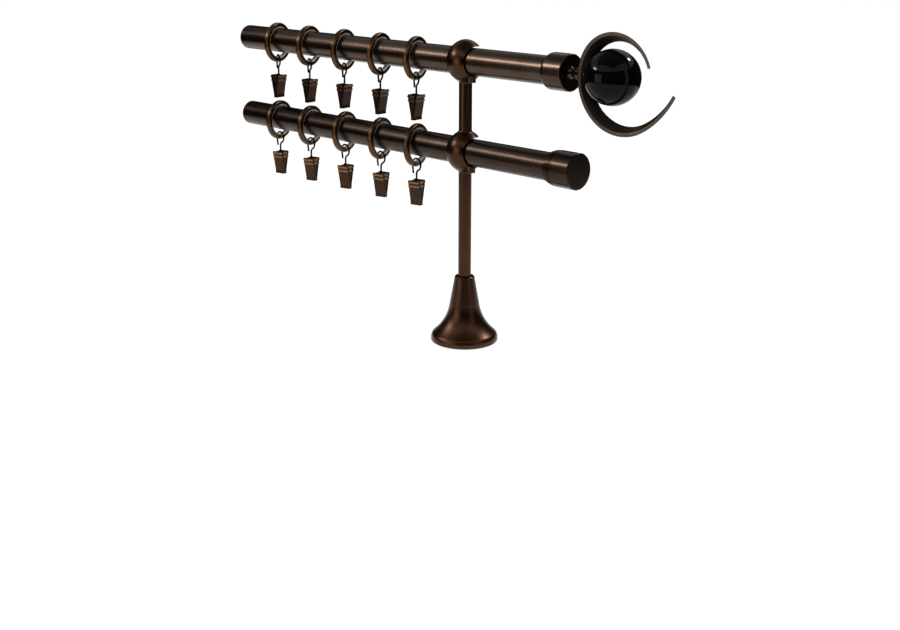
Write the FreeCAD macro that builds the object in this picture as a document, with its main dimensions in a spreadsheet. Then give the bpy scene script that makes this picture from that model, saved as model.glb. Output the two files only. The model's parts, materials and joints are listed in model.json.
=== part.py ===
"""Double curtain pole: a wall bracket with two pole holders, two poles, a crescent finial,
an end cap and ten curtain rings, each with a wire hook and a sprung clip.

Millimetres. The bracket's rod stands along +Z from the wall face at z = 0, the poles run along X
with their finished ends at +X, and the rings and clips hang towards -Z.
"""
import FreeCAD, Part
import os
import Sketcher

doc = FreeCAD.newDocument("double_curtain_pole")
sheet = doc.addObject("Spreadsheet::Sheet", "Sizes")

SIZES = {
    # Poles
    "pole_dia": 19.0,
    "pole_wall": 1.2,
    "pole_left_x": -250.0,
    "rear_pole_z": 136.7,
    "pole_spacing": 62.7,
    # Bracket rod and its two cast holders
    "rod_dia": 9.14,
    "holder_width": 26.8,
    "holder_side_radius": 15.5,
    "holder_crown_angle": 60.0,
    "channel_clearance": 0.9,
    "neck_fillet": 2.2,
    "screw_dia": 3.6,
    "screw_inset": 6.0,
    "screw_stand_out": 2.0,
    "screw_clearance": 0.05,
    # Wall plate and the bell rosette that covers it
    "plate_dia": 41.0,
    "plate_thickness": 3.0,
    "boss_dia": 15.0,
    "boss_height": 8.0,
    "rod_clearance": 0.05,
    "fixing_circle_dia": 30.0,
    "fixing_hole_dia": 4.2,
    "fixing_count": 3,
    "rosette_dia": 47.6,
    "rosette_height": 47.2,
    "rosette_top_dia": 14.0,
    "rosette_waist_dia": 20.8,
    "rosette_waist_z": 27.9,
    "rosette_flare_dia": 44.4,
    "rosette_flare_z": 6.0,
    "rosette_flare_radius": 34.0,
    "rosette_nose_radius": 5.0,
    "rosette_rim_height": 2.2,
    "rosette_base_chamfer": 0.6,
    "rosette_wall": 1.6,
    "rosette_collar_height": 6.0,
    "rosette_clearance": 0.2,
    # End cap of the rear pole
    "cap_dia": 24.3,
    "cap_end_x": 102.0,
    "cap_length": 21.9,
    "cap_end_wall": 3.0,
    "cap_lip": 1.2,
    "cap_groove_width": 0.9,
    "cap_groove_depth": 0.8,
    "cap_bead_width": 1.3,
    "cap_edge_radius": 0.9,
    "cap_clearance": 0.05,
    # Finial of the front pole
    "collar_dia": 24.4,
    "collar_end_x": 94.3,
    "collar_length": 17.5,
    "collar_shoulder": 3.6,
    "collar_shoulder_radius": 4.2,
    "collar_lip": 0.9,
    "collar_end_wall": 3.0,
    "collar_edge_radius": 0.8,
    "neck_dia": 5.4,
    "neck_bead_dia": 8.0,
    "neck_land": 0.3,
    "spigot_dia": 2.4,
    "spigot_depth": 8.0,
    "spigot_clearance": 0.05,
    "ball_dia": 35.4,
    "ball_x": 126.8,
    "crescent_ball_gap": 0.96,
    "crescent_lower_radius": 31.4,
    "crescent_upper_radius": 25.0,
    "crescent_aside": 0.6,
    "crescent_drop": 1.2,
    "crescent_join_angle": 11.7,
    "crescent_upper_tip_angle": 17.5,
    "crescent_lower_tip_angle": 29.7,
    "crescent_point_radius": 56.5,
    "crescent_point_angle": 60.0,
    "crescent_depth": 6.0,
    "crescent_tip_depth": 0.8,
    "crescent_dish_angle": 39.2,
    "crescent_thickness": 2.2,
    # Rings with their plastic liners
    "ring_dia": 31.4,
    "ring_width": 4.0,
    "ring_edge_radius": 1.3,
    "liner_dia": 25.4,
    "liner_bore_dia": 23.4,
    "liner_width": 3.5,
    "liner_edge_radius": 0.45,
    "liner_clearance": 0.03,
    "ring_gap": 0.25,
    "ring_turn_angle": 15.0,
    "ring_1_x": -212.0,
    "ring_2_x": -171.8,
    "ring_3_x": -129.5,
    "ring_4_x": -88.3,
    "ring_5_x": -49.5,
    # Wire hooks: the loop hangs on the ring and the eye holds the clip's pin
    "wire_dia": 1.4,
    "loop_bore_dia": 7.4,
    "loop_gap": 0.9,
    "loop_tail_angle": 10.0,
    "loop_bend_angle": 65.0,
    "tail_length": 6.2,
    "hook_drop": 17.4,
    "front_loop_turn_angle": -20.0,
    "rear_loop_turn_angle": 0.0,
    # Clips: two pressed plates on a riveted pin, in the pin's own frame
    "front_clip_turn_angle": 97.0,
    "rear_clip_turn_angle": 13.0,
    "pin_dia": 1.4,
    "pin_clearance": 0.05,
    "clip_sheet": 0.7,
    "clip_above_pin": 6.0,
    "clip_below_pin": 12.4,
    "clip_top_gap": 7.2,
    "clip_pin_gap": 5.4,
    "clip_jaw_gap": 0.2,
    "clip_jaw_length": 2.6,
    "clip_jaw_fold": 1.5,
    "clip_top_width": 9.3,
    "clip_jaw_width": 8.6,
    "rib_pitch": 2.8,
    "rib_first": 1.6,
    "rib_width": 1.7,
    "rib_height": 0.6,
    "ear_radius": 1.5,
    "ear_outside": 4.1,
    "ear_clearance": 0.3,
    "spring_dia": 2.5,
    "spring_length": 1.1,
    "flange_reach": 1.6,
    "flange_inset": 0.4,
    "rivet_stand_out": 0.3,
}
for row, (alias, number) in enumerate(SIZES.items(), start=1):
    sheet.set(f"A{row}", alias)
    sheet.set(f"B{row}", str(number))
    sheet.setAlias(f"B{row}", alias)
doc.recompute()

ROWS = ("front", "rear")
RING_COUNT = 5
X_AXIS = "vector(1; 0; 0)"
Y_AXIS = "vector(0; 1; 0)"
Z_AXIS = "vector(0; 0; 1)"

POLE_R = "Sizes.pole_dia / 2"
ROD_R = "Sizes.rod_dia / 2"
WIRE_R = "Sizes.wire_dia / 2"
PIN_R = "Sizes.pin_dia / 2"
SCREW_X = "(Sizes.holder_width / 2 - Sizes.screw_inset)"
POLE_Z = {
    "rear": "Sizes.rear_pole_z",
    "front": "(Sizes.rear_pole_z + Sizes.pole_spacing)",
}
# A ring hangs with its liner just over the top of the pole.
RING_DROP = "(Sizes.liner_bore_dia / 2 - Sizes.pole_dia / 2 - Sizes.ring_gap)"
# A hook's loop is centred a little below the middle of the ring's section.
SECTION_R = "(Sizes.ring_dia + Sizes.liner_bore_dia) / 4"
SECTION_HALF = "(Sizes.ring_dia - Sizes.liner_bore_dia) / 4"
LOOP_DROP = f"({SECTION_R} + Sizes.loop_bore_dia / 2 - {SECTION_HALF} - Sizes.loop_gap)"

sub_parts = []


def keep(obj, label):
    """Give a finished sub-part the label that names its file."""
    obj.Label = label
    sub_parts.append(obj)
    return obj


def value(expression):
    """The number that an expression on the sheet gives."""
    return float(sheet.evalExpression(expression))


def place(obj, x="0", y="0", z="0", turn=None):
    """Bind an object's placement to the sheet, with an optional turn written as rotations."""
    rotation = turn if turn else f"rotation({Z_AXIS}; 0)"
    obj.setExpression("Placement", f"placement(vector({x}; {y}; {z}); {rotation})")
    return obj


def primitive(kind, name, **sizes):
    """A primitive solid whose sizes are bound to the sheet."""
    obj = doc.addObject(f"Part::{kind}", name)
    for prop, expression in sizes.items():
        obj.setExpression(prop, expression)
    return obj


def cut(name, base, tool):
    obj = doc.addObject("Part::Cut", name)
    obj.Base = base
    obj.Tool = tool
    return obj


def fuse(name, shapes):
    obj = doc.addObject("Part::MultiFuse", name)
    obj.Shapes = shapes
    obj.Refine = True
    return obj


def common(name, shapes):
    obj = doc.addObject("Part::MultiCommon", name)
    obj.Shapes = shapes
    return obj


def outline(body, name, role, loops, offset=None):
    """A sketch of closed loops. A corner is (x, y), bound to the sheet, or (x, y, radius) where the
    edge that leaves it is an arc: a positive radius bulges to the right of the way it runs."""
    sketch = body.newObject("Sketcher::SketchObject", name)
    plane = next(item for item in body.Origin.OriginFeatures if item.Role == role)
    sketch.AttachmentSupport = [(plane, "")]
    sketch.MapMode = "FlatFace"
    if offset:
        sketch.setExpression("AttachmentOffset.Base.z", offset)
    for corners in loops:
        points = [FreeCAD.Vector(value(c[0]), value(c[1]), 0) for c in corners]
        edges = []
        for index, corner in enumerate(corners):
            start = points[index]
            end = points[(index + 1) % len(points)]
            if len(corner) == 2:
                edge = sketch.addGeometry(Part.LineSegment(start, end), False)
                edges.append((edge, 1, 2))
                continue
            radius = value(corner[2])
            chord = end - start
            aside = FreeCAD.Vector(chord.y, -chord.x, 0).normalize()
            rise = abs(radius) - (radius ** 2 - (chord.Length / 2) ** 2) ** 0.5
            middle = (start + end) / 2 + aside * (rise if radius > 0 else -rise)
            edge = sketch.addGeometry(Part.Arc(start, middle, end), False)
            edges.append((edge, 1, 2) if radius > 0 else (edge, 2, 1))
            bend = sketch.addConstraint(Sketcher.Constraint("Radius", edge, abs(radius)))
            sketch.setExpression(f"Constraints[{bend}]", f"abs({corner[2]})")
        for index, (edge, first, last) in enumerate(edges):
            following = edges[(index + 1) % len(edges)]
            sketch.addConstraint(Sketcher.Constraint("Coincident", edge, last, following[0], following[1]))
            for kind, axis, expression in (("DistanceX", -2, corners[index][0]),
                                           ("DistanceY", -1, corners[index][1])):
                distance = value(expression)
                if abs(distance) < 1e-9:
                    sketch.addConstraint(Sketcher.Constraint("PointOnObject", edge, first, axis))
                    continue
                bound = sketch.addConstraint(Sketcher.Constraint(kind, -1, 1, edge, first, distance))
                sketch.setExpression(f"Constraints[{bound}]", expression)
    return sketch


def new_body(name):
    return doc.addObject("PartDesign::Body", name)


def revolve(body, sketch, axis):
    """Turn a profile all the way round the sketch's own H_Axis or V_Axis."""
    feature = body.newObject("PartDesign::Revolution", sketch.Name + "_turned")
    feature.Profile = (sketch, [""])
    feature.ReferenceAxis = (sketch, [axis])
    feature.Angle = 360
    return feature


def pad(body, sketch, length, midplane=True):
    feature = body.newObject("PartDesign::Pad", sketch.Name + "_pad")
    feature.Profile = (sketch, [""])
    feature.Midplane = midplane
    feature.setExpression("Length", length)
    return feature


def circles(shape):
    """The numbers of a shape's round edges, each with its circle."""
    found = []
    for number, edge in enumerate(shape.Edges, start=1):
        if not edge.Degenerated and isinstance(edge.Curve, Part.Circle):
            found.append((number, edge.Curve))
    return found


def round_edges(body, feature, radius, wanted):
    """Fillet those round edges of a turned piece that the test accepts."""
    doc.recompute()
    names = [f"Edge{number}" for number, rim in circles(feature.Shape) if wanted(rim)]
    fillet = body.newObject("PartDesign::Fillet", feature.Name + "_rounded")
    fillet.Base = (feature, names)
    fillet.setExpression("Radius", radius)
    return fillet


def copy_of(template, label, x, z, turn):
    """A body that repeats a template at its own place."""
    body = new_body(label)
    base = body.newObject("PartDesign::FeatureBase", label + "_shape")
    base.BaseFeature = template
    body.Tip = base
    place(body, x=x, z=z, turn=f"rotation({Z_AXIS}; {turn})")
    return keep(body, label)


def lying_along_x(angle="0"):
    """The turn that lays a primitive's own Z axis along X."""
    return f"rotation({Y_AXIS}; 90) * rotation({Z_AXIS}; {angle})"


def facing_front(start="0"):
    """The turn that lays a primitive's own Z axis along -Y, with its seam start degrees above +X."""
    return f"rotation({Y_AXIS}; -({start})) * rotation({X_AXIS}; 90)"


def make_wall_plate():
    """A turned disc with a socket for the rod, screwed to the wall through three holes."""
    disc = primitive("Cylinder", "plate_disc", Radius="Sizes.plate_dia / 2", Height="Sizes.plate_thickness")
    boss = primitive("Cylinder", "plate_boss", Radius="Sizes.boss_dia / 2",
                     Height="Sizes.plate_thickness + Sizes.boss_height")
    socket = primitive("Cylinder", "plate_socket", Radius=f"{ROD_R} + Sizes.rod_clearance",
                       Height="Sizes.boss_height * 2")
    place(socket, z="Sizes.plate_thickness")
    holes = []
    count = int(value("Sizes.fixing_count"))
    for number in range(count):
        hole = primitive("Cylinder", f"plate_hole_{number + 1}", Radius="Sizes.fixing_hole_dia / 2",
                         Height="Sizes.plate_thickness * 3")
        angle = f"360 * {number} / Sizes.fixing_count + 90"
        place(hole, x=f"Sizes.fixing_circle_dia / 2 * cos({angle})",
              y=f"Sizes.fixing_circle_dia / 2 * sin({angle})", z="-Sizes.plate_thickness")
        holes.append(hole)
    blank = fuse("plate_blank", [disc, boss])
    keep(cut("wall_plate_solid", blank, fuse("plate_holes", [socket] + holes)), "wall_plate")


def make_rosette():
    """A hollow bell that slides down the rod over the wall plate."""
    body = new_body("rosette_body")
    bore = f"{ROD_R} + Sizes.rosette_clearance"
    rim = "Sizes.rosette_dia / 2"
    roof = "Sizes.rosette_height - Sizes.rosette_collar_height"
    outer = [
        (f"{rim} - Sizes.rosette_base_chamfer", "0"),
        (rim, "Sizes.rosette_base_chamfer"),
        (rim, "Sizes.rosette_rim_height", "Sizes.rosette_nose_radius"),
        ("Sizes.rosette_flare_dia / 2", "Sizes.rosette_flare_z", "-Sizes.rosette_flare_radius"),
        ("Sizes.rosette_waist_dia / 2", "Sizes.rosette_waist_z"),
        ("Sizes.rosette_top_dia / 2", "Sizes.rosette_height - Sizes.rosette_base_chamfer"),
        ("Sizes.rosette_top_dia / 2 - Sizes.rosette_base_chamfer", "Sizes.rosette_height"),
        (bore, "Sizes.rosette_height"),
    ]
    inner = [
        (bore, roof),
        ("Sizes.rosette_top_dia / 2 - Sizes.rosette_wall / 2", roof),
        ("Sizes.rosette_waist_dia / 2 - Sizes.rosette_wall", "Sizes.rosette_waist_z",
         "Sizes.rosette_flare_radius + Sizes.rosette_wall"),
        ("Sizes.rosette_flare_dia / 2 - Sizes.rosette_wall", "Sizes.rosette_flare_z - Sizes.rosette_wall"),
        (f"{rim} - Sizes.rosette_wall", "Sizes.rosette_rim_height"),
        (f"{rim} - Sizes.rosette_wall", "0"),
    ]
    revolve(body, outline(body, "rosette_profile", "XZ_Plane", [outer + inner]), "V_Axis")
    keep(body, "rosette")


def holder_side(row, crowned):
    """The profile of a holder's ball: a neck, a long side arc and either a second neck or a crown."""
    side = "Sizes.holder_side_radius"
    neck = "Sizes.neck_fillet"
    # The side arc is centred behind the rod's axis, so that the ball is taller than it is wide.
    behind = f"({side} - Sizes.holder_width / 2)"
    neck_out = f"({ROD_R} + {neck} + {behind})"
    neck_up = f"sqrt(({side} + {neck}) ^ 2 - {neck_out} ^ 2)"
    share = f"{side} / ({side} + {neck})"
    touch_x = f"{neck_out} * {share} - {behind}"
    touch_up = f"{neck_up} * {share}"
    middle = POLE_Z[row]
    corners = [
        (ROD_R, f"{middle} - {neck_up}", f"-{neck}"),
        (touch_x, f"{middle} - {touch_up}", side),
    ]
    if not crowned:
        corners += [(touch_x, f"{middle} + {touch_up}", f"-{neck}"), (ROD_R, f"{middle} + {neck_up}")]
        return corners
    angle = "Sizes.holder_crown_angle"
    crown_r = f"({side} - {behind} / cos({angle}))"
    corners += [
        (f"{side} * cos({angle}) - {behind}", f"{middle} + {side} * sin({angle})", crown_r),
        ("0", f"{middle} + {behind} * tan({angle}) + {crown_r}"),
    ]
    return corners


def make_bracket_arm():
    """The rod with its two cast holders, each a ball with a channel open towards +Y."""
    body = new_body("arm_blank")
    profile = [("0", "Sizes.plate_thickness"), (ROD_R, "Sizes.plate_thickness")]
    profile += holder_side("rear", crowned=False) + holder_side("front", crowned=True)
    revolve(body, outline(body, "arm_profile", "XZ_Plane", [profile]), "V_Axis")
    channel_r = f"{POLE_R} + Sizes.channel_clearance"
    cuts = []
    for row in ROWS:
        bore = primitive("Cylinder", f"{row}_channel_bore", Radius=channel_r, Height="Sizes.holder_width * 2")
        cuts.append(place(bore, x="-Sizes.holder_width", z=POLE_Z[row], turn=lying_along_x()))
        mouth = primitive("Box", f"{row}_channel_mouth", Length="Sizes.holder_width * 2",
                          Width="Sizes.holder_width", Height=f"2 * ({channel_r})")
        cuts.append(place(mouth, x="-Sizes.holder_width", z=f"{POLE_Z[row]} - ({channel_r})"))
        hole = primitive("Cylinder", f"{row}_screw_hole", Height="Sizes.holder_side_radius",
                         Radius="Sizes.screw_dia / 2 + Sizes.screw_clearance")
        depth = "Sizes.holder_side_radius + Sizes.screw_stand_out"
        cuts.append(place(hole, x=SCREW_X, z=f"{POLE_Z[row]} - ({depth})"))
    keep(cut("bracket_arm_solid", body, fuse("arm_cuts", cuts)), "bracket_arm")


def make_clamp_screws():
    """A headless screw under each holder that bears on the pole."""
    screws = []
    for row in ROWS:
        start = f"{POLE_Z[row]} - {POLE_R}"
        # The holder's wall where the screw passes through it.
        behind = "(Sizes.holder_side_radius - Sizes.holder_width / 2)"
        wall = f"sqrt(Sizes.holder_side_radius ^ 2 - ({SCREW_X} + {behind}) ^ 2) - {POLE_R}"
        screw = primitive("Cylinder", f"{row}_screw", Radius="Sizes.screw_dia / 2",
                          Height=f"{wall} + Sizes.screw_stand_out")
        screws.append(place(screw, x=SCREW_X, z=f"{start} - ({wall}) - Sizes.screw_stand_out"))
    group = doc.addObject("Part::Compound", "clamp_screw_pair")
    group.Links = screws
    keep(group, "clamp_screws")


def make_pole(row, right_end):
    """A drawn tube, cut square at its plain end."""
    length = f"{right_end} - Sizes.pole_left_x"
    tube = primitive("Cylinder", f"{row}_tube", Radius=POLE_R, Height=length)
    bore = primitive("Cylinder", f"{row}_tube_bore", Radius=f"{POLE_R} - Sizes.pole_wall", Height=length)
    for solid in (tube, bore):
        place(solid, x="Sizes.pole_left_x", z=POLE_Z[row], turn=lying_along_x())
    keep(cut(f"{row}_pole_solid", tube, bore), f"{row}_pole")


def make_end_cap():
    """A turned cup over the pole's end, with three grooved beads that step up to its full size."""
    body = new_body("end_cap_body")
    start = "(Sizes.cap_end_x - Sizes.cap_length)"
    bore = f"{POLE_R} + Sizes.cap_clearance"
    lip = f"({bore} + Sizes.cap_lip)"
    rise = f"(Sizes.cap_dia / 2 - {lip})"
    corners = [(start, bore)]
    along = start
    for bead in range(3):
        # The beads rise by less each time, so that together they round the cap's shoulder.
        height = f"(Sizes.cap_dia / 2 - {rise} * {(1 - bead / 3) ** 2})"
        corners.append((along, height))
        along = f"{along} + Sizes.cap_bead_width"
        corners.append((along, height))
        corners.append((along, f"{height} - Sizes.cap_groove_depth"))
        along = f"{along} + Sizes.cap_groove_width"
        corners.append((along, f"{height} - Sizes.cap_groove_depth"))
    inside = "Sizes.cap_end_x - Sizes.cap_end_wall"
    corners += [(along, "Sizes.cap_dia / 2"), ("Sizes.cap_end_x", "Sizes.cap_dia / 2"),
                ("Sizes.cap_end_x", "0"), (inside, "0"), (inside, bore)]
    turned = revolve(body, outline(body, "cap_profile", "XZ_Plane", [corners]), "H_Axis")
    end_x = value("Sizes.cap_end_x")
    round_edges(body, turned, "Sizes.cap_edge_radius", lambda rim: abs(rim.Center.x - end_x) < 1e-6)
    place(body, z=POLE_Z["rear"])
    keep(body, "rear_end_cap")


def make_finial_collar(crescent_back):
    """A turned cup over the pole's end, with a beaded neck and a spigot for the crescent and the ball."""
    body = new_body("finial_collar_body")
    start = "(Sizes.collar_end_x - Sizes.collar_length)"
    bore = f"{POLE_R} + Sizes.cap_clearance"
    inside = "Sizes.collar_end_x - Sizes.collar_end_wall"
    seat = f"({CRESCENT_BACK_X})"
    neck_length = f"({seat} - Sizes.collar_end_x)"
    bead_r = "Sizes.neck_bead_dia / 2"
    neck_r = "Sizes.neck_dia / 2"
    corners = [
        (start, bore),
        (start, f"{bore} + Sizes.collar_lip", "-Sizes.collar_shoulder_radius"),
        (f"{start} + Sizes.collar_shoulder", "Sizes.collar_dia / 2"),
        ("Sizes.collar_end_x", "Sizes.collar_dia / 2"),
        ("Sizes.collar_end_x", bead_r),
        (f"Sizes.collar_end_x + {neck_length} * 0.25", neck_r),
        (f"Sizes.collar_end_x + {neck_length} * 0.45", neck_r),
        (f"Sizes.collar_end_x + {neck_length} * 0.6", bead_r),
        (f"Sizes.collar_end_x + {neck_length} * 0.8", bead_r),
        (seat, neck_r),
        (seat, "Sizes.spigot_dia / 2"),
        (f"{BALL_BACK_X} + Sizes.spigot_depth", "Sizes.spigot_dia / 2"),
        (f"{BALL_BACK_X} + Sizes.spigot_depth", "0"),
        (inside, "0"),
        (inside, bore),
    ]
    turned = revolve(body, outline(body, "collar_profile", "XZ_Plane", [corners]), "H_Axis")
    end_x = value("Sizes.collar_end_x")
    full_r = value("Sizes.collar_dia / 2")
    round_edges(body, turned, "Sizes.collar_edge_radius",
                lambda rim: abs(rim.Center.x - end_x) < 1e-6 and abs(rim.Radius - full_r) < 1e-6)
    place(body, z=POLE_Z["front"])
    # The neck runs on to the crescent's slanting back and is shaped to it.
    run_on = primitive("Cylinder", "neck_run_on", Radius=f"{neck_r} - Sizes.neck_land",
                       Height=f"{DISH_RISE} * 2 + Sizes.crescent_thickness / 2")
    place(run_on, x=f"{seat} - Sizes.crescent_thickness / 2", z=POLE_Z["front"], turn=lying_along_x())
    saddle = cut("neck_saddle", run_on, crescent_back)
    keep(fuse("finial_collar_solid", [body, saddle]), "finial_collar")


# The crescent is a dished strip along three tangent arcs: the tight upper horn, the longer lower horn and
# the flatter point that ends the lower horn.
# It stands off the back of the ball by the gap between the ball and its far, inner edge.
BALL_BACK_X = "(Sizes.ball_x - Sizes.ball_dia / 2)"
DISH_RISE = "(tan(Sizes.crescent_dish_angle) * Sizes.crescent_depth / 2)"
INNER_R = f"(Sizes.crescent_lower_radius - {DISH_RISE} - Sizes.crescent_thickness / 2)"
LOWER_X = f"({BALL_BACK_X} - Sizes.crescent_ball_gap + {INNER_R})"
RADIUS_STEP = "(Sizes.crescent_lower_radius - Sizes.crescent_upper_radius)"
LOWER_Z = f"({POLE_Z['front']} - Sizes.crescent_drop)"
UPPER_X = f"({LOWER_X} - {RADIUS_STEP} * cos(Sizes.crescent_join_angle))"
UPPER_Z = f"({LOWER_Z} + {RADIUS_STEP} * sin(Sizes.crescent_join_angle))"
POINT_STEP = "(Sizes.crescent_point_radius - Sizes.crescent_lower_radius)"
POINT_X = f"({LOWER_X} - {POINT_STEP} * cos(Sizes.crescent_point_angle))"
POINT_Z = f"({LOWER_Z} + {POINT_STEP} * sin(Sizes.crescent_point_angle))"
JOIN_X = f"({LOWER_X} - Sizes.crescent_lower_radius * cos(Sizes.crescent_join_angle))"
CRESCENT_BACK_X = f"{LOWER_X} - Sizes.crescent_lower_radius - {DISH_RISE} - Sizes.crescent_thickness / 2"


def make_horn(name, centre_x, centre_z, radius, start, sweep, tip_x):
    """One arc of the crescent: part of a cone's wall, narrowed towards its tip by two large round cuts."""
    half = "Sizes.crescent_depth / 2"
    # The wall starts a little deeper than the cuts leave it.
    walls = []
    for side, sign in (("outside", "+"), ("inside", "-")):
        middle = f"{radius} {sign} Sizes.crescent_thickness / 2"
        wall = primitive("Cone", f"{name}_{side}", Radius1=f"{middle} - {DISH_RISE} * 1.25",
                         Radius2=f"{middle} + {DISH_RISE} * 1.25", Height="Sizes.crescent_depth * 1.25",
                         Angle=sweep)
        walls.append(place(wall, x=centre_x, y=f"Sizes.crescent_aside + {half} * 1.25", z=centre_z,
                           turn=facing_front(start)))
    strip = cut(f"{name}_strip", walls[0], walls[1])
    # The two cuts leave the full depth at the join and the tip depth at the tip.
    loss = "((Sizes.crescent_depth - Sizes.crescent_tip_depth) / 2)"
    lens_r = f"((({tip_x} - {JOIN_X}) ^ 2 + {loss} ^ 2) / (2 * {loss}))"
    lenses = []
    for side, sign in (("near", 1), ("far", -1)):
        lens = primitive("Cylinder", f"{name}_{side}_lens", Radius=lens_r,
                         Height="4 * Sizes.crescent_lower_radius")
        lenses.append(place(lens, x=JOIN_X, y=f"Sizes.crescent_aside + {sign} * ({lens_r} - {half})",
                            z=f"{POLE_Z['front']} - 2 * Sizes.crescent_lower_radius"))
    return common(f"{name}_horn", [strip] + lenses)


def make_crescent():
    """A dished, tapered metal strip bent round the ball, drilled for the collar's spigot."""
    upper_tip_x = f"({UPPER_X} + Sizes.crescent_upper_radius * cos(Sizes.crescent_upper_tip_angle))"
    lower_tip_x = f"({POINT_X} + Sizes.crescent_point_radius * cos(Sizes.crescent_lower_tip_angle))"
    join = "(180 - Sizes.crescent_join_angle)"
    upper_tip = "Sizes.crescent_upper_tip_angle"
    upper = make_horn("upper", UPPER_X, UPPER_Z, "Sizes.crescent_upper_radius", upper_tip,
                      f"{join} - {upper_tip}", upper_tip_x)
    lower = make_horn("lower", LOWER_X, LOWER_Z, "Sizes.crescent_lower_radius",
                      join, f"360 - Sizes.crescent_point_angle - {join}", lower_tip_x)
    point = make_horn("point", POINT_X, POINT_Z, "Sizes.crescent_point_radius", "-Sizes.crescent_point_angle",
                      "Sizes.crescent_point_angle - Sizes.crescent_lower_tip_angle", lower_tip_x)
    hole = primitive("Cylinder", "crescent_hole", Radius="Sizes.spigot_dia / 2 + Sizes.spigot_clearance",
                     Height=f"{BALL_BACK_X} - ({CRESCENT_BACK_X})")
    place(hole, x=CRESCENT_BACK_X, z=POLE_Z["front"], turn=lying_along_x())
    keep(cut("crescent_solid", fuse("crescent_strip", [upper, lower, point]), hole), "finial_crescent")
    return doc.getObject("lower_outside")


def make_ball():
    """A polished ball with a blind hole that seats it on the spigot."""
    ball = primitive("Sphere", "ball_round", Radius="Sizes.ball_dia / 2")
    place(ball, x="Sizes.ball_x", z=POLE_Z["front"])
    hole = primitive("Cylinder", "ball_hole", Radius="Sizes.spigot_dia / 2 + Sizes.spigot_clearance",
                     Height="2 * Sizes.spigot_depth")
    place(hole, x=f"{BALL_BACK_X} - Sizes.spigot_depth", z=POLE_Z["front"], turn=lying_along_x())
    keep(cut("ball_solid", ball, hole), "finial_ball")


def ring_template(name, outer, inner, width, edge_radius, rounded_dia):
    """A turned ring about X, rounded on the edges of one of its diameters."""
    body = new_body(name)
    half = f"{width} / 2"
    corners = [(f"-{half}", inner), (half, inner), (half, outer), (f"-{half}", outer)]
    turned = revolve(body, outline(body, f"{name}_profile", "XZ_Plane", [corners]), "H_Axis")
    rounded_r = value(rounded_dia) / 2
    round_edges(body, turned, edge_radius, lambda rim: abs(rim.Radius - rounded_r) < 1e-6)
    return body


def hook_template(row):
    """A bent wire: a tail, an open loop over the ring, a bend back to the middle, a stem and an eye."""
    loop_r = f"(Sizes.loop_bore_dia / 2 + {WIRE_R})"
    bend = "Sizes.loop_bend_angle"
    bend_r = f"({loop_r} * cos({bend}) / (1 - cos({bend})))"
    bend_z = f"(-({loop_r} + {bend_r}) * sin({bend}))"
    loop = primitive("Torus", f"{row}_loop", Radius1=loop_r, Radius2=WIRE_R, Angle1="-180", Angle2="180",
                     Angle3=f"180 + {bend} + Sizes.loop_tail_angle")
    place(loop, turn=facing_front(f"-{bend}"))
    tail = primitive("Cylinder", f"{row}_tail", Radius=WIRE_R, Height="Sizes.tail_length")
    place(tail, x=f"-{loop_r} * cos(Sizes.loop_tail_angle)", z=f"-{loop_r} * sin(Sizes.loop_tail_angle)",
          turn=f"rotation({Y_AXIS}; 180 - Sizes.loop_tail_angle)")
    back = primitive("Torus", f"{row}_bend", Radius1=bend_r, Radius2=WIRE_R, Angle1="-180", Angle2="180",
                     Angle3=bend)
    place(back, x=bend_r, z=bend_z, turn=facing_front(f"180 - {bend}"))
    eye_r = f"({PIN_R} + Sizes.pin_clearance + {WIRE_R})"
    stem = primitive("Cylinder", f"{row}_stem", Radius=WIRE_R,
                     Height=f"Sizes.hook_drop + {bend_z} - {eye_r}")
    place(stem, z=f"{eye_r} - Sizes.hook_drop")
    eye = primitive("Torus", f"{row}_eye", Radius1=eye_r, Radius2=WIRE_R, Angle1="-180", Angle2="180",
                    Angle3="360")
    turn = f"Sizes.{row}_clip_turn_angle - Sizes.{row}_loop_turn_angle"
    place(eye, z="-Sizes.hook_drop", turn=f"rotation({Z_AXIS}; {turn}) * {lying_along_x()}")
    return fuse(f"{row}_hook_template", [tail, loop, back, stem, eye])


# Above the pin a clip plate leans out by this much for each millimetre of height.
PLATE_LEAN = "((Sizes.clip_top_gap - Sizes.clip_pin_gap) / 2 / Sizes.clip_above_pin)"


def plate_side(sign):
    """The side view of a pressed clip plate, with two thumb ribs across it and a folded jaw."""
    top = "Sizes.clip_above_pin"
    bottom = "Sizes.clip_below_pin"
    jaw = f"({bottom} - Sizes.clip_jaw_length)"
    ribbed = []
    for rib in (1, 0):
        crest = f"({top} - Sizes.rib_first - Sizes.rib_pitch * {rib})"
        for share, proud in ((-0.5, 0), (-0.25, 1), (0.25, 1), (0.5, 0)):
            height = f"({crest} + Sizes.rib_width * {share})"
            face = f"Sizes.clip_pin_gap / 2 + {PLATE_LEAN} * {height}"
            ribbed.append((f"{face} + Sizes.rib_height * {proud}", height))
    inner = [
        ("Sizes.clip_jaw_gap / 2", f"-{bottom}"),
        ("Sizes.clip_jaw_gap / 2", f"-{jaw}"),
        ("Sizes.clip_pin_gap / 2", "0"),
    ]
    inner += ribbed + [("Sizes.clip_top_gap / 2", top)]
    outer = [("Sizes.clip_top_gap / 2 + Sizes.clip_sheet", top)]
    outer += [(f"{face} + Sizes.clip_sheet", height) for face, height in reversed(ribbed)]
    outer += [
        ("Sizes.clip_pin_gap / 2 + Sizes.clip_sheet", "0"),
        ("Sizes.clip_jaw_gap / 2 + Sizes.clip_jaw_fold", f"-{jaw}"),
        ("Sizes.clip_jaw_gap / 2 + Sizes.clip_jaw_fold", f"-{bottom}"),
    ]
    return [(f"{sign} * ({y})", z) for y, z in inner + outer]


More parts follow.
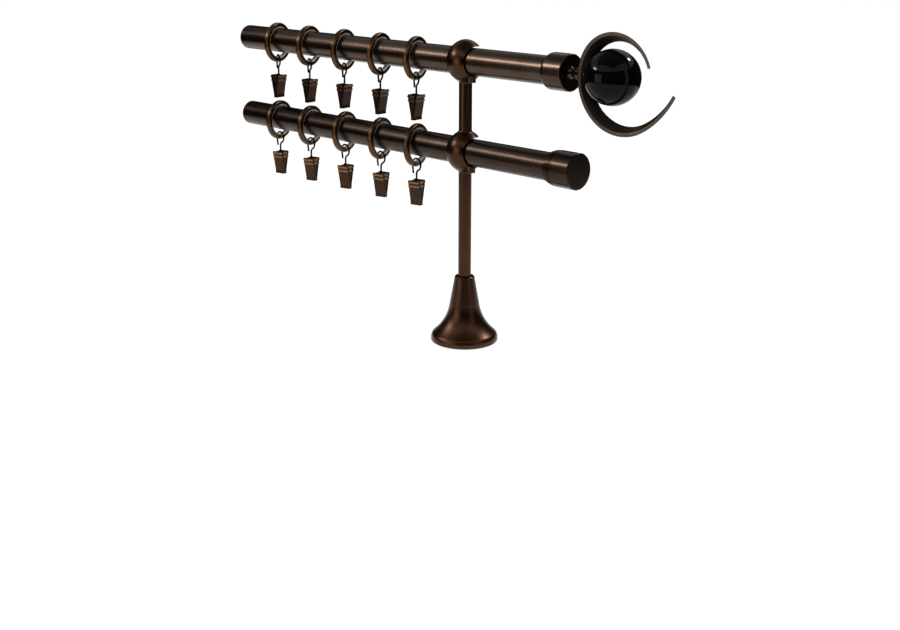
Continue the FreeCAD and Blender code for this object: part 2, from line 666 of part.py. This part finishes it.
def ear_side():
    """The front plate's ear: from the plate to a rounded end about the pin."""
    radius = "Sizes.ear_radius"
    face = "(Sizes.clip_pin_gap / 2 + Sizes.clip_sheet / 2)"
    corners = [(face, f"{radius} * 1.3"), ("0", radius), (f"-{radius} * 0.7", f"{radius} * 0.7"),
               (f"-{radius}", "0"), (f"-{radius} * 0.7", f"-{radius} * 0.7"), ("0", f"-{radius}"),
               (f"{face} - Sizes.clip_sheet / 2", f"-{radius} * 1.3")]
    return [(f"-({y})", z) for y, z in corners]


def flange_side():
    """The back plate's side wall: it closes the clip's side and leaves the front plate room to turn."""
    high = "(Sizes.clip_above_pin - Sizes.flange_inset)"
    jaw = "(Sizes.clip_below_pin - Sizes.clip_jaw_length)"
    middle = "Sizes.clip_sheet / 2"
    radius = "Sizes.ear_radius"
    return [
        (f"Sizes.clip_pin_gap / 2 + {PLATE_LEAN} * {high} + {middle}", high),
        ("-Sizes.flange_reach", high),
        (f"-{radius}", f"{radius} / 2"),
        (f"-{radius}", f"-{radius} / 2"),
        ("Sizes.clip_jaw_gap / 2 + Sizes.flange_inset / 2", f"-{jaw} + Sizes.flange_inset"),
        (f"Sizes.clip_jaw_gap / 2 + {middle}", f"-{jaw}"),
        (f"Sizes.clip_pin_gap / 2 + {middle}", "0"),
    ]


def pressed_plate(name, sign, wall_side, wall_outer):
    """A pressed plate, narrower at its jaw, with a wall folded up along each side."""
    body = new_body(name)
    pad(body, outline(body, f"{name}_side", "YZ_Plane", [plate_side(sign)]), "Sizes.clip_top_width")
    top = "Sizes.clip_above_pin"
    bottom = "-Sizes.clip_below_pin"
    wide = "Sizes.clip_top_width / 2"
    wedges = []
    for side in (1, -1):
        wedges.append([(f"{side} * {wide}", top), (f"{side} * Sizes.clip_jaw_width / 2", bottom),
                       (f"{side} * {wide}", bottom)])
    doc.recompute()
    before = body.Shape.Volume
    taper = body.newObject("PartDesign::Pocket", f"{name}_taper")
    taper.Profile = (outline(body, f"{name}_front", "XZ_Plane", wedges), [""])
    taper.Type = "ThroughAll"
    taper.Midplane = True
    doc.recompute()
    if not body.Shape.Volume < before:
        raise RuntimeError(f"{name}: the taper cut nothing")
    for side, start in (("right", f"{wall_outer} - Sizes.clip_sheet"), ("left", f"-({wall_outer})")):
        wall = outline(body, f"{name}_{side}_wall", "YZ_Plane", [wall_side], offset=start)
        pad(body, wall, "Sizes.clip_sheet", midplane=False)
    doc.recompute()
    return body


def back_clip_template():
    """The plate with the side walls, its riveted pin and the two spring coils on the pin."""
    plate = pressed_plate("clip_back_template", 1, flange_side(), "Sizes.ear_outside")
    reach = "(Sizes.ear_outside + Sizes.rivet_stand_out)"
    pin = primitive("Cylinder", "clip_pin", Radius=PIN_R, Height=f"2 * {reach}")
    place(pin, x=f"-{reach}", turn=lying_along_x())
    eye_half = f"({WIRE_R} + Sizes.ear_clearance)"
    coils = []
    for side, start in (("right", eye_half), ("left", f"-{eye_half} - Sizes.spring_length")):
        coil = primitive("Cylinder", f"{side}_spring", Radius="Sizes.spring_dia / 2",
                         Height="Sizes.spring_length")
        coils.append(place(coil, x=start, turn=lying_along_x()))
    return fuse("clip_back_riveted", [plate, pin] + coils)


def front_clip_template():
    """The plate that turns on the pin between the other plate's walls."""
    ear_outer = "Sizes.ear_outside - Sizes.clip_sheet - Sizes.ear_clearance"
    plate = pressed_plate("clip_front_template", -1, ear_side(), ear_outer)
    bore = primitive("Cylinder", "clip_pin_bore", Radius=f"{PIN_R} + Sizes.pin_clearance",
                     Height="Sizes.clip_top_width * 2")
    place(bore, x="-Sizes.clip_top_width", turn=lying_along_x())
    return cut("clip_front_drilled", plate, bore)


def make_rings():
    """Ten rings, five on each pole, each with a liner, a hook and a two-plate clip."""
    ring = ring_template("ring_template", "Sizes.ring_dia / 2", "Sizes.liner_dia / 2", "Sizes.ring_width",
                         "Sizes.ring_edge_radius", "Sizes.ring_dia")
    liner = ring_template("liner_template", "Sizes.liner_dia / 2 - Sizes.liner_clearance",
                          "Sizes.liner_bore_dia / 2", "Sizes.liner_width", "Sizes.liner_edge_radius",
                          "Sizes.liner_bore_dia")
    back = back_clip_template()
    front = front_clip_template()
    for row in ROWS:
        hook = hook_template(row)
        ring_z = f"{POLE_Z[row]} - {RING_DROP}"
        loop_z = f"{ring_z} - {LOOP_DROP}"
        pin_z = f"{loop_z} - Sizes.hook_drop"
        clip_turn = f"Sizes.{row}_clip_turn_angle"
        for number in range(1, RING_COUNT + 1):
            x = f"Sizes.ring_{number}_x"
            copy_of(ring, f"{row}_ring_{number}", x, ring_z, "Sizes.ring_turn_angle")
            copy_of(liner, f"{row}_liner_{number}", x, ring_z, "Sizes.ring_turn_angle")
            copy_of(hook, f"{row}_hook_{number}", x, loop_z, f"Sizes.{row}_loop_turn_angle")
            copy_of(back, f"{row}_clip_back_{number}", x, pin_z, clip_turn)
            copy_of(front, f"{row}_clip_front_{number}", x, pin_z, clip_turn)


make_wall_plate()
make_rosette()
make_bracket_arm()
make_clamp_screws()
make_pole("rear", "(Sizes.cap_end_x - Sizes.cap_end_wall)")
make_pole("front", "(Sizes.collar_end_x - Sizes.collar_end_wall)")
make_end_cap()
make_finial_collar(make_crescent())
make_ball()
make_rings()
doc.recompute()

failed = [obj.Label for obj in doc.Objects if "Invalid" in obj.State or "Error" in obj.State]
if failed:
    raise RuntimeError("not built: " + ", ".join(failed))
for obj in sub_parts:
    if obj.Shape.isNull() or not obj.Shape.isValid() or not obj.Shape.Solids:
        raise RuntimeError("no sound solid: " + obj.Label)

os.makedirs("parts", exist_ok=True)
for obj in sub_parts:
    obj.Shape.exportStep(os.path.join("parts", obj.Label + ".step"))
print(len(sub_parts), "sub-parts written")
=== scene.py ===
# %% [markdown]
# # A double curtain pole in dark bronze
# The object is a wall bracket that carries two curtain poles, with a finial, an end cap, rings, wire hooks
# and sprung clips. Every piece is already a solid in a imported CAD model, so nothing is modelled here. This
# lesson gives the solids their looks: materials, a camera set where the photograph was taken, and a small
# studio. Run the cells from the top.

import json
import math

import bpy
from mathutils import Matrix, Vector

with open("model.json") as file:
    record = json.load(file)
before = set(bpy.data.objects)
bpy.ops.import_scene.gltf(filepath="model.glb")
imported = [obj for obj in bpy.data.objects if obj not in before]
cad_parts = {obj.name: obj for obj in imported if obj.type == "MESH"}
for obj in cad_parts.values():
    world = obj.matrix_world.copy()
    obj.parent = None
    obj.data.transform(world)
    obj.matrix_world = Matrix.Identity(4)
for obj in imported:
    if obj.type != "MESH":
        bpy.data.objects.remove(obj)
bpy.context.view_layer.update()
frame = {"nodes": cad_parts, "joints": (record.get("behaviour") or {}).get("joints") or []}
nodes = frame["nodes"]
scene = bpy.context.scene

# %% [markdown]
# ## Four small tools
# Colours are written as hex values, as a paint program shows them. Shaders work in linear light, so one
# function converts them. A noise pattern's scale counts its marks along one metre, so another function
# works it out from the marks' real size. The last two start a material and add a node to it, with its
# settings and links. Nodes could also be placed by hand in the shader editor, but code keeps every number
# in sight.


# %% Colours, pattern scales and nodes
def linear(hex_colour):
    """A hex sRGB colour as linear red, green, blue and alpha."""
    channels = [int(hex_colour[i:i + 2], 16) / 255 for i in (0, 2, 4)]
    return [c / 12.92 if c <= 0.04045 else ((c + 0.055) / 1.055) ** 2.4 for c in channels] + [1.0]


def per_metre(size_mm):
    """The scale of a noise pattern whose marks are that many millimetres across."""
    return 1000.0 / size_mm


def add(tree, kind, inputs=None, **settings):
    """Add a shader node. An input's value may be a number, a colour or another node's output."""
    node = tree.nodes.new("ShaderNode" + kind)
    for name, setting in settings.items():
        setattr(node, name, setting)
    for name, value in (inputs or {}).items():
        if isinstance(value, bpy.types.NodeSocket):
            tree.links.new(value, node.inputs[name])
        else:
            node.inputs[name].default_value = value
    return node


def new_material(name):
    """An empty material, its node tree and its output node."""
    material = bpy.data.materials.new(name)
    material.use_nodes = True
    tree = material.node_tree
    tree.nodes.clear()
    return material, tree, add(tree, "OutputMaterial")


print("Hex 808080 is", round(linear("808080")[0], 3), "in linear light")

# %% [markdown]
# ## The bronze finish
# The real pieces are plated in a dark antique bronze, and then brushed or polished. A picture of brushed
# metal could be wrapped round them, but a pattern worked out from real sizes stays sharp from close by and
# fits every shape. The brush marks are a noise that is stretched along the way of brushing. They move the
# roughness and, very slightly, the surface normal. Real marks are finer than the picture can show, so they
# are drawn a few tenths of a millimetre wide. A slow cloudy noise varies the colour, because plating is
# never quite even. A bevel node rounds the sharp edges in the shading, so that they catch the light as
# dressed edges do. Level bands at given heights show a lighter colour, which is a painted highlight.

# %% Brushed bronze plating
BRUSH_WIDTH_MM = 0.3846
BRUSH_LENGTH_MM = 16.667
POLISH_MARK_MM = 0.5
CLOUD_MM = 18.182
NOISE_DETAIL = 2.0

ALONG_X = (per_metre(BRUSH_LENGTH_MM), per_metre(BRUSH_WIDTH_MM), per_metre(BRUSH_WIDTH_MM))
ALONG_Z = (per_metre(BRUSH_WIDTH_MM), per_metre(BRUSH_WIDTH_MM), per_metre(BRUSH_LENGTH_MM))
ALL_WAYS = (per_metre(POLISH_MARK_MM),) * 3

# Noise keeps to the middle of its range, so these are the lowest and highest values that matter.
COLOUR_FROM, COLOUR_TO = 0.12, 0.4
MARKS_FROM, MARKS_TO = 0.3, 0.7
ROUGHNESS_SWING = 0.03
MARK_DEPTH = 0.0002
MARK_STRENGTH = 0.05
BEVEL_SAMPLES = 4
# Half the height of a band of painted highlight, in metres.
HIGHLIGHT_BAND_HALF_HEIGHT = 0.0008


def bronze(name, grain, dark, light, roughness, edge=0.0002, highlight_at=(), highlight_to=None):
    """Bronze plating between a dark and a light colour. grain is the scale of the brush marks along X, Y
    and Z. edge is the radius of the dressed edges in metres. The next argument holds the heights, in
    metres, of bands with a painted highlight, and the last one is the painted highlight's colour there."""
    material, tree, output = new_material(name)
    coords = add(tree, "TexCoord").outputs["Object"]
    stretched = add(tree, "Mapping", {"Vector": coords, "Scale": grain}).outputs["Vector"]
    marks = add(tree, "TexNoise", {"Vector": stretched, "Scale": 1.0,
                                   "Detail": NOISE_DETAIL}).outputs["Fac"]
    clouds = add(tree, "TexNoise", {"Vector": coords, "Scale": per_metre(CLOUD_MM),
                                    "Detail": NOISE_DETAIL}).outputs["Fac"]
    blend = add(tree, "Math", {0: marks, 1: clouds}, operation="MULTIPLY")
    spread = add(tree, "MapRange", {"Value": blend.outputs["Value"], "From Min": COLOUR_FROM,
                                    "From Max": COLOUR_TO})
    colour = add(tree, "Mix", {"Factor": spread.outputs["Result"], "A": linear(dark), "B": linear(light)},
                 data_type="RGBA")
    # Each listed height gets a band of painted highlight.
    for middle in highlight_at:
        height = add(tree, "SeparateXYZ", {"Vector": coords}).outputs["Z"]
        highlit = add(tree, "Math", {0: height, 1: middle, 2: HIGHLIGHT_BAND_HALF_HEIGHT}, operation="COMPARE")
        colour = add(tree, "Mix", {"Factor": highlit.outputs["Value"], "A": colour.outputs["Result"],
                                   "B": linear(highlight_to)}, data_type="RGBA")
    rough = add(tree, "MapRange", {"Value": marks, "From Min": MARKS_FROM, "From Max": MARKS_TO,
                                   "To Min": roughness - ROUGHNESS_SWING,
                                   "To Max": roughness + ROUGHNESS_SWING})
    rounded = add(tree, "Bevel", {"Radius": edge}, samples=BEVEL_SAMPLES)
    bump = add(tree, "Bump", {"Height": marks, "Strength": MARK_STRENGTH, "Distance": MARK_DEPTH,
                              "Normal": rounded.outputs["Normal"]})
    surface = add(tree, "BsdfPrincipled", {
        "Base Color": colour.outputs["Result"], "Metallic": 1.0, "Roughness": rough.outputs["Result"],
        "Normal": bump.outputs["Normal"]})
    tree.links.new(surface.outputs["BSDF"], output.inputs["Surface"])
    return material


print("Brush marks along a pole, per metre:", [round(scale) for scale in ALONG_X])

# %% [markdown]
# ## Bronze for the poles, the bracket and the turned pieces
# One plating looks different on each of these pieces, because each was finished in its own way. One
# material could serve them all, but the photograph shows the differences, so each finish has its own
# colours, roughness and edges. The rear pole and the rear cap wear darker copies of their bronze, which
# are painted shade.

# %% Bronze for the poles, the bracket and the turned pieces
# Tube brushed along its length carries long soft streaks. The rear pole wears a darker copy: painted shade.
pole_bronze = bronze("pole_bronze", ALONG_X, dark="44362d", light="534338", roughness=0.29)
rear_bronze = bronze("rear_bronze", ALONG_X, dark="362b24", light="43352d", roughness=0.29)

# The arm with its cast holders and the bell-shaped rosette are redder, with soft edges and a satin shine.
arm_bronze = bronze("arm_bronze", ALONG_Z, dark="3d2a1e", light="4a3426", roughness=0.28, edge=0.0006)
bell_bronze = bronze("bell_bronze", ALL_WAYS, dark="422c20", light="50372a", roughness=0.32, edge=0.0006)

# Pieces polished on a lathe have the sharpest highlights and crisp grooves. The rear cap wears a darker
# copy: painted shade.
turned_bronze = bronze("turned_bronze", ALL_WAYS, dark="40332a", light="4e3f34", roughness=0.24,
                       edge=0.0001)
cap_bronze = bronze("cap_bronze", ALL_WAYS, dark="31271f", light="3d3129", roughness=0.24, edge=0.0001)

# The bent strip of the crescent is dull, with well rounded edges.
strip_bronze = bronze("strip_bronze", ALL_WAYS, dark="4f443b", light="5f5349", roughness=0.38, edge=0.0008)

# The wall plate and the clamp screws are plain steel with a brown tint, satin and even.
plain_steel = bronze("plain_steel", ALL_WAYS, dark="40362f", light="52473e", roughness=0.32, edge=0.0003)
print("The poles wear", pole_bronze.name, "and", rear_bronze.name)

# %% [markdown]
# ## Bronze for the rings, the hooks and the clips
# The rings are the warmest pieces. The hooks are blackened spring wire. The clips are pressed from sheet,
# with two thumb ribs. A band at each rib's height carries a painted highlight: bright on the rear pole, and
# dim on the front pole, whose clips also wear a darker copy of the bronze as painted shade. A rib could be
# painted by hand, but a band at its height is simpler and fits all the clips of a row. The heights come
# from the clips' pins, which the imported model gives as joints.

# %% Bronze for the rings, the hooks and the clips
# Painted highlight colours for the clips' thumb ribs: bright on the rear clips, dim on the front ones.
REAR_RIB_HIGHLIGHT = "8a694c"
FRONT_RIB_HIGHLIGHT = "5a4534"
RIBS_ABOVE_PIN = (0.0016, 0.0044)


def rib_heights(jaw):
    """The heights of the thumb ribs over the pin on which a clip's jaw turns."""
    pin = next(joint["pos_m"] for joint in frame["joints"] if joint["name"] == jaw)
    return [pin[2] + rise for rise in RIBS_ABOVE_PIN]


ring_bronze = bronze("ring_bronze", ALL_WAYS, dark="4a3523", light="5e442d", roughness=0.27, edge=0.0005)
wire_black = bronze("wire_black", ALL_WAYS, dark="1c1715", light="26201d", roughness=0.3)
# The front clips are a darker copy of the clip bronze, as painted shade.
clip_bronze = bronze("clip_bronze", ALONG_Z, dark="2b1f18", light="38281e", roughness=0.38, edge=0.0003,
                     highlight_at=rib_heights("front_clip_jaw_1"), highlight_to=FRONT_RIB_HIGHLIGHT)
worn_bronze = bronze("worn_bronze", ALONG_Z, dark="3a2a20", light="4a3628", roughness=0.42, edge=0.0003,
                     highlight_at=rib_heights("rear_clip_jaw_1"), highlight_to=REAR_RIB_HIGHLIGHT)
print("The rear clips are worn at the heights", rib_heights("rear_clip_jaw_1"))

# %% [markdown]
# ## Plastic and lacquer
# The rings' liners are moulded in pale plastic, which is satin and a little uneven. The ball is lacquered
# black and mirrors the studio's lights as small bright spots. A clear coat over dark paint would do that
# too, but one smooth dark surface with a weak mirror is enough for a ball that is nearly black.

# %% Moulded plastic and black lacquer
MOULD_MARK_MM = 1.4286
LINER_ROUGHNESS = 0.45
MOULD_SWING = 0.08
LACQUER_RIPPLE_MM = 11.111
LACQUER_SMOOTHEST, LACQUER_ROUGHEST = 0.03, 0.07
USUAL_MIRROR = 0.5
LACQUER_MIRROR = 0.1


def smooth_finish(name, colour, mark_mm, roughness_from, roughness_to, mirror):
    """A plain coloured surface whose roughness wanders between two values. mirror is how strongly it
    mirrors the room."""
    material, tree, output = new_material(name)
    coords = add(tree, "TexCoord").outputs["Object"]
    noise = add(tree, "TexNoise", {"Vector": coords, "Scale": per_metre(mark_mm), "Detail": NOISE_DETAIL})
    rough = add(tree, "MapRange", {"Value": noise.outputs["Fac"], "To Min": roughness_from,
                                   "To Max": roughness_to})
    surface = add(tree, "BsdfPrincipled", {
        "Base Color": linear(colour), "Roughness": rough.outputs["Result"], "Specular IOR Level": mirror})
    tree.links.new(surface.outputs["BSDF"], output.inputs["Surface"])
    return material


liner_plastic = smooth_finish("liner_plastic", "c4c1bc", MOULD_MARK_MM, LINER_ROUGHNESS - MOULD_SWING,
                              LINER_ROUGHNESS + MOULD_SWING, USUAL_MIRROR)
ball_black = smooth_finish("ball_black", "070708", LACQUER_RIPPLE_MM, LACQUER_SMOOTHEST, LACQUER_ROUGHEST,
                           LACQUER_MIRROR)
print("Made", liner_plastic.name, "and", ball_black.name)

# %% [markdown]
# ## Which piece gets which finish
# Each material could be dropped on its pieces one by one. The pieces' names tell them apart, so a short
# table of how the names begin does the same for all of them.

# %% Dress the solids
FINISHES = {
    "front_pole": pole_bronze, "rear_pole": rear_bronze,
    "front_ring": ring_bronze, "rear_ring": ring_bronze,
    "front_liner": liner_plastic, "rear_liner": liner_plastic,
    "front_hook": wire_black, "rear_hook": wire_black,
    "front_clip": clip_bronze, "rear_clip": worn_bronze,
    "bracket_arm": arm_bronze, "rosette": bell_bronze,
    "wall_plate": plain_steel, "clamp_screws": plain_steel,
    "rear_end_cap": cap_bronze, "finial_collar": turned_bronze,
    "finial_crescent": strip_bronze, "finial_ball": ball_black,
}
for name, node in nodes.items():
    finish = next(material for start, material in FINISHES.items() if name.startswith(start))
    node.data.materials.clear()
    node.data.materials.append(finish)
print("Dressed", len(nodes), "solids in", len(set(FINISHES.values())), "finishes")

# %% [markdown]
# ## The camera
# The camera stands where the photograph was taken. Its place and angles come from fitting the poles, the
# rod, the rosette's rim and the end cap's face to the picture. The object sits in the upper half of the
# picture. The camera could be tilted further down for that, but a shifted lens moves the picture and keeps
# the fitted angles.

# %% Set the camera
CAMERA_AT = Vector((0.6002, -0.6069, 0.2934))
AZIMUTH = math.radians(45.387)
DOWN = math.radians(11.729)
ROLL = math.radians(0.156)
SENSOR_MM = 36.0
LENS_MM = 49.98
LENS_SHIFT = -0.15
NEAREST = 0.01

right = Vector((math.cos(AZIMUTH), math.sin(AZIMUTH), 0))
ahead = Vector((-math.sin(AZIMUTH) * math.cos(DOWN), math.cos(AZIMUTH) * math.cos(DOWN), -math.sin(DOWN)))
above = right.cross(ahead)
rolled_right = right * math.cos(ROLL) + above * math.sin(ROLL)
rolled_above = above * math.cos(ROLL) - right * math.sin(ROLL)

camera_data = bpy.data.cameras.new("camera")
camera_data.sensor_width = SENSOR_MM
camera_data.lens = LENS_MM
camera_data.shift_y = LENS_SHIFT
camera_data.clip_start = NEAREST
camera = bpy.data.objects.new("camera", camera_data)
scene.collection.objects.link(camera)
turn = Matrix((rolled_right, rolled_above, -ahead)).transposed()
camera.matrix_world = Matrix.Translation(CAMERA_AT) @ turn.to_4x4()
scene.camera = camera
print("The camera stands", round(CAMERA_AT.length, 3), "m from the wall plate")

# %% [markdown]
# ## The floor
# The photograph's background is plain white. More light could make the floor white, but it would wash out
# the metal too. So the camera's rays, mirrored rays and rays through clear things see a floor that glows,
# and all other rays see matt paint. A part of the white that the camera sees is matt paint too, so the
# floor keeps the object's shadow. The floor lies half a millimetre under the rosette's foot, so that the
# two faces don't fight for the same place.

# %% Lay the floor
WHITE = linear("ffffff")
FLOOR_SIZE = 8.0
FLOOR_HEIGHT = -0.0005
FLOOR_PAINT = linear("e7e7e7")
SHADOW_PAINT = linear("959595")
FLOOR_GLOW = 0.88


def seen_as_background(tree):
    """One for the camera's rays, mirrored rays and rays through clear things, and zero for the rest."""
    path = add(tree, "LightPath")
    either = add(tree, "Math", {0: path.outputs["Is Camera Ray"], 1: path.outputs["Is Glossy Ray"]},
                 operation="MAXIMUM")
    return add(tree, "Math", {0: either.outputs["Value"], 1: path.outputs["Is Transmission Ray"]},
               operation="MAXIMUM").outputs["Value"]


bpy.ops.mesh.primitive_plane_add(size=FLOOR_SIZE, location=(0, 0, FLOOR_HEIGHT))
floor = bpy.context.object
floor.name = "floor"
material, tree, output = new_material("floor_white")
matt = add(tree, "BsdfDiffuse", {"Color": FLOOR_PAINT})
pale = add(tree, "BsdfDiffuse", {"Color": SHADOW_PAINT})
glow = add(tree, "Emission", {"Color": WHITE, "Strength": FLOOR_GLOW})
white = add(tree, "AddShader", {0: pale.outputs["BSDF"], 1: glow.outputs["Emission"]})
seen = add(tree, "MixShader", {0: seen_as_background(tree), 1: matt.outputs["BSDF"],
                               2: white.outputs["Shader"]})
tree.links.new(seen.outputs["Shader"], output.inputs["Surface"])
floor.data.materials.append(material)
print("Laid", floor.name)

# %% [markdown]
# ## The room
# Past the floor the picture shows the world. It is white for the same rays as the floor is, and a dimmer
# room for the rest, so that the background stays white at a plain level of light.

# %% Paint the room
ROOM_LIGHT = 0.4
WHITE_LIGHT = 1.0

world = bpy.data.worlds.new("studio")
scene.world = world
world.use_nodes = True
tree = world.node_tree
tree.nodes.clear()
room = add(tree, "Background", {"Color": WHITE, "Strength": ROOM_LIGHT})
white = add(tree, "Background", {"Color": WHITE, "Strength": WHITE_LIGHT})
mixed = add(tree, "MixShader", {0: seen_as_background(tree), 1: room.outputs["Background"],
                                2: white.outputs["Background"]})
output = add(tree, "OutputWorld")
tree.links.new(mixed.outputs["Shader"], output.inputs["Surface"])
print("Painted", world.name)

# %% [markdown]
# ## The dark screen
# Shiny metal shows what stands round it, so photographers surround it with dark and pale boards. Dark
# bands could be painted into the materials, but they would not slide over the metal as mirrored ones do. A
# low dark screen round the floor gives the metal its dark bands. The camera doesn't see it: only mirrored
# rays and rays through clear things do.

# %% Put up the dark screen
SCREEN_RADIUS = 0.62
SCREEN_HEIGHT = 0.5
SCREEN_SIDES = 96
SCREEN_FELT = linear("272727")


def show_in_mirrors_only(board):
    """Hide a board from the camera and from matt surfaces, and keep it from casting a shadow."""
    for ray in ("camera", "diffuse", "shadow"):
        setattr(board, "visible_" + ray, False)


bpy.ops.mesh.primitive_cylinder_add(vertices=SCREEN_SIDES, radius=SCREEN_RADIUS, depth=SCREEN_HEIGHT,
                                    end_fill_type="NOTHING", location=(0, 0, SCREEN_HEIGHT / 2))
screen = bpy.context.object
screen.name = "dark_screen"
material, tree, output = new_material("screen_black")
felt = add(tree, "BsdfDiffuse", {"Color": SCREEN_FELT})
tree.links.new(felt.outputs["BSDF"], output.inputs["Surface"])
screen.data.materials.append(material)
show_in_mirrors_only(screen)
print("Put up", screen.name)

# %% [markdown]
# ## The cards
# Inside the screen a white card draws a stripe down the rod, and a narrow white strip lights the
# right-hand sides. A grey card on the left and a dark ceiling dim what faces upwards. Lamps could draw the
# stripes too, but they would also light the floor.


# %% Put up the cards
def card(name, middle, width, height, facing, strength):
    """A flat pale board that stands, leans or hangs, and that only mirrors show."""
    bpy.ops.mesh.primitive_plane_add(size=1.0, location=middle)
    board = bpy.context.object
    board.name = name
    board.scale = (width, height, 1.0)
    board.rotation_euler = Vector(facing).to_track_quat("Z", "Y").to_euler()
    material, tree, output = new_material(name)
    glow = add(tree, "Emission", {"Color": WHITE, "Strength": strength})
    tree.links.new(glow.outputs["Emission"], output.inputs["Surface"])
    board.data.materials.append(material)
    show_in_mirrors_only(board)
    print("Put up", name)


card("white_card", middle=(-0.11, -0.57, 0.2), width=0.33, height=0.3,
     facing=(0.11, 0.57, 0.0), strength=1.8)
card("white_strip", middle=(0.58, 0.05, 0.3), width=0.12, height=0.6,
     facing=(-0.58, -0.05, 0.0), strength=0.8)
card("grey_card", middle=(-0.9, 0.3, 0.95), width=1.1, height=1.1,
     facing=(1.0, 0.0, 0.0), strength=0.4)
card("dark_ceiling", middle=(0.0, 0.0, 1.1), width=1.5, height=1.5,
     facing=(0.0, 0.0, -1.0), strength=0.15)

# %% [markdown]
# ## The lamps
# Two softboxes light the metal: one high on the left in front, which draws the long highlight on the
# poles, and one high behind. Bare lamps would do it too, but they leave hard sparks on polished metal. The
# Standard view shows the colours as they are written.

# %% Hang the softboxes
OBJECT_MIDDLE = Vector((-0.03, 0.0, 0.15))


def softbox(name, toward, distance, width, height, watts):
    """A rectangular area light that faces the middle of the object from a direction."""
    data = bpy.data.lights.new(name, "AREA")
    data.shape = "RECTANGLE"
    data.size = width
    data.size_y = height
    data.energy = watts
    light = bpy.data.objects.new(name, data)
    scene.collection.objects.link(light)
    light.location = OBJECT_MIDDLE + Vector(toward).normalized() * distance
    light.rotation_euler = (OBJECT_MIDDLE - light.location).to_track_quat("-Z", "Y").to_euler()
    print("Hung", name, "at", watts, "W")


softbox("key", toward=(-0.62, -0.6, 0.49), distance=1.6, width=0.5, height=0.18, watts=8.0)
softbox("back", toward=(0.28, 0.7, 0.66), distance=1.65, width=0.24, height=0.18, watts=8.0)

scene.view_settings.view_transform = "Standard"

# %% [markdown]
# ## The end

# %% Finish
print("The scene is ready")
